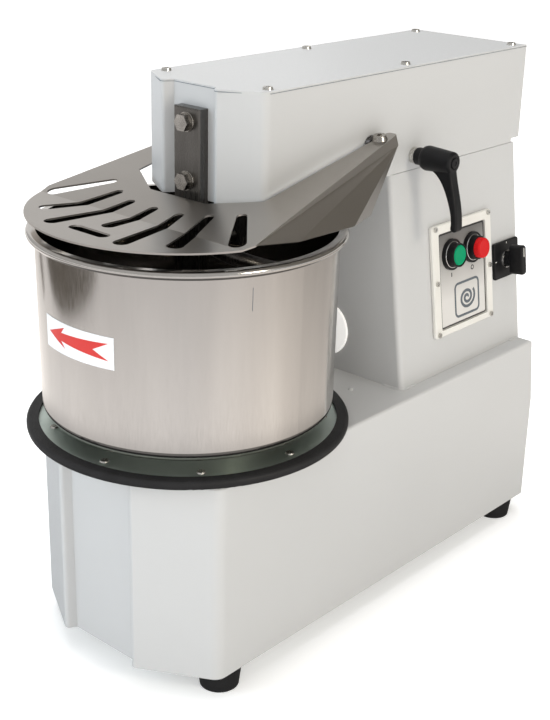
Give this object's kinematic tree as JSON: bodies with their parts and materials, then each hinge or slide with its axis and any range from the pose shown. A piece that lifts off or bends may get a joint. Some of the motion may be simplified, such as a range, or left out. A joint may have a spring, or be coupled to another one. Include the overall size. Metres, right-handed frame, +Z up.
{
  "type": "spiral dough mixer",
  "caption": "Tilt-head spiral dough mixer with a bowl on a driven turntable, spiral hook, breaker bar, slotted steel guard, clamp lever and push-button panel.",
  "frame": {"origin": "centre of the bounding box on the floor plane under the feet", "axes": "+Z up, front with the bowl towards -Y, column and hinge towards +Y, control panel on +X"},
  "size_m": [0.2832, 0.5598, 0.5027],
  "materials": {
    "white_paint": "semi-gloss powder coat",
    "zinc_sheet": "galvanised sheet",
    "black_rubber": "moulded",
    "zinc_screw": "zinc plated",
    "black_plastic": "moulded",
    "white_nylon": "moulded",
    "cast_alloy": "as cast",
    "shaft_steel": "ground",
    "chain_steel": "oiled",
    "cream_frame": "moulded",
    "panel_face": "printed film",
    "green_cap": "moulded",
    "red_cap": "moulded",
    "polished_steel": "polished stainless steel",
    "brushed_steel": "brushed stainless steel"
  },
  "bodies": {
    "base": {"base_shell": "white_paint", "base_front_panel": "white_paint", "base_rear_cover": "white_paint", "bottom_plate": "zinc_sheet", "rubber_feet": "black_rubber", "foot_bolts": "zinc_screw", "cable_gland": "black_plastic", "column_shell": "white_paint", "column_rear_cover": "white_paint", "cover_screws": "zinc_screw", "column_top_plate": "zinc_sheet", "front_plug": "white_nylon", "clamp_tab": "zinc_sheet", "hinge_bracket": "zinc_sheet", "turntable_housing": "cast_alloy", "reducer_housing": "cast_alloy", "base_bearings": "shaft_steel", "shaft_bridge": "zinc_sheet", "motor_housing": "cast_alloy", "motor_fan_cover": "black_plastic", "base_chain": "chain_steel", "panel_frame": "cream_frame", "panel_plate": "panel_face", "panel_screws": "zinc_screw", "button_bezels": "black_plastic", "switch_plate": "black_plastic", "switch_bodies": "black_plastic"},
    "turntable": {"turntable_plate": "zinc_sheet", "turntable_trim": "black_rubber", "plate_rivets": "zinc_screw", "turntable_shaft": "shaft_steel", "bowl_sprocket": "chain_steel", "bowl": "polished_steel"},
    "main_drive": {"main_shaft": "shaft_steel", "drive_sprocket": "chain_steel"},
    "head": {"head_shell": "white_paint", "head_lid": "white_paint", "lid_screws": "zinc_screw", "breaker_bar": "polished_steel", "bar_bolts": "zinc_screw", "hinge_leaf": "zinc_sheet", "spiral_housing": "cast_alloy", "drive_housing": "zinc_sheet", "head_bearings": "shaft_steel", "head_chain": "chain_steel", "guard_bushes": "shaft_steel"},
    "head_drive": {"head_drive_shaft": "shaft_steel", "head_drive_sprocket": "chain_steel"},
    "spiral": {"spiral_shaft": "shaft_steel", "spiral_sprocket": "chain_steel", "spiral_hook": "polished_steel"},
    "guard": {"guard_sheet": "brushed_steel", "guard_shaft": "shaft_steel", "guard_screws": "zinc_screw"},
    "lever_core": {"lever_stud": "zinc_screw", "lever_insert": "zinc_screw"},
    "lever": {"lever_handle": "black_plastic"},
    "start_button": {"start_cap": "green_cap"},
    "stop_button": {"stop_cap": "red_cap"},
    "power_switch": {"rotary_knob": "black_plastic"}
  },
  "joints": [
    {"name": "turntable_spin", "type": "hinge", "parent": "base", "child": "turntable", "pos_m": [0, -0.1383, 0.2], "axis": [0, 0, -1], "continuous": true},
    {"name": "main_drive_spin", "type": "hinge", "parent": "base", "child": "main_drive", "pos_m": [0, 0.13, 0.2], "axis": [0, 0, -1], "continuous": true},
    {"name": "head_tilt", "type": "hinge", "parent": "base", "child": "head", "pos_m": [0, 0.2565, 0.4052], "axis": [-1, 0, 0], "range_deg": [0, 60]},
    {"name": "head_drive_spin", "type": "hinge", "parent": "head", "child": "head_drive", "pos_m": [0, 0.13, 0.45], "axis": [0, 0, -1], "continuous": true},
    {"name": "spiral_spin", "type": "hinge", "parent": "head", "child": "spiral", "pos_m": [0, -0.0753, 0.43], "axis": [0, 0, -1], "continuous": true},
    {"name": "guard_lift", "type": "hinge", "parent": "head", "child": "guard", "pos_m": [0, 0.0175, 0.438], "axis": [-1, 0, 0], "range_deg": [0, 80]},
    {"name": "lever_turn", "type": "hinge", "parent": "head", "child": "lever_core", "pos_m": [0.07, 0.0835, 0.4189], "axis": [1, 0, 0], "range_deg": [0, 150]},
    {"name": "lever_pull", "type": "slide", "parent": "lever_core", "child": "lever", "axis": [1, 0, 0], "range_m": [0, 0.005], "stiffness_N_per_m": 1500, "springref_m": -0.004},
    {"name": "start_press", "type": "slide", "parent": "base", "child": "start_button", "axis": [-0.991, 0, -0.1338], "range_m": [0, 0.003], "stiffness_N_per_m": 400, "springref_m": -0.002},
    {"name": "stop_press", "type": "slide", "parent": "base", "child": "stop_button", "axis": [-0.991, 0, -0.1338], "range_m": [0, 0.004], "stiffness_N_per_m": 400, "springref_m": -0.002},
    {"name": "power_turn", "type": "hinge", "parent": "base", "child": "power_switch", "pos_m": [0.09265, 0.23165, 0.29234], "axis": [0.991, 0, 0.1338], "range_deg": [0, 90]}
  ],
  "couplings": [
    {"joint": "main_drive_spin", "follows": "turntable_spin", "ratio": 5.4545},
    {"joint": "head_drive_spin", "follows": "turntable_spin", "ratio": 5.4545},
    {"joint": "spiral_spin", "follows": "turntable_spin", "ratio": 5.4545}
  ]
}
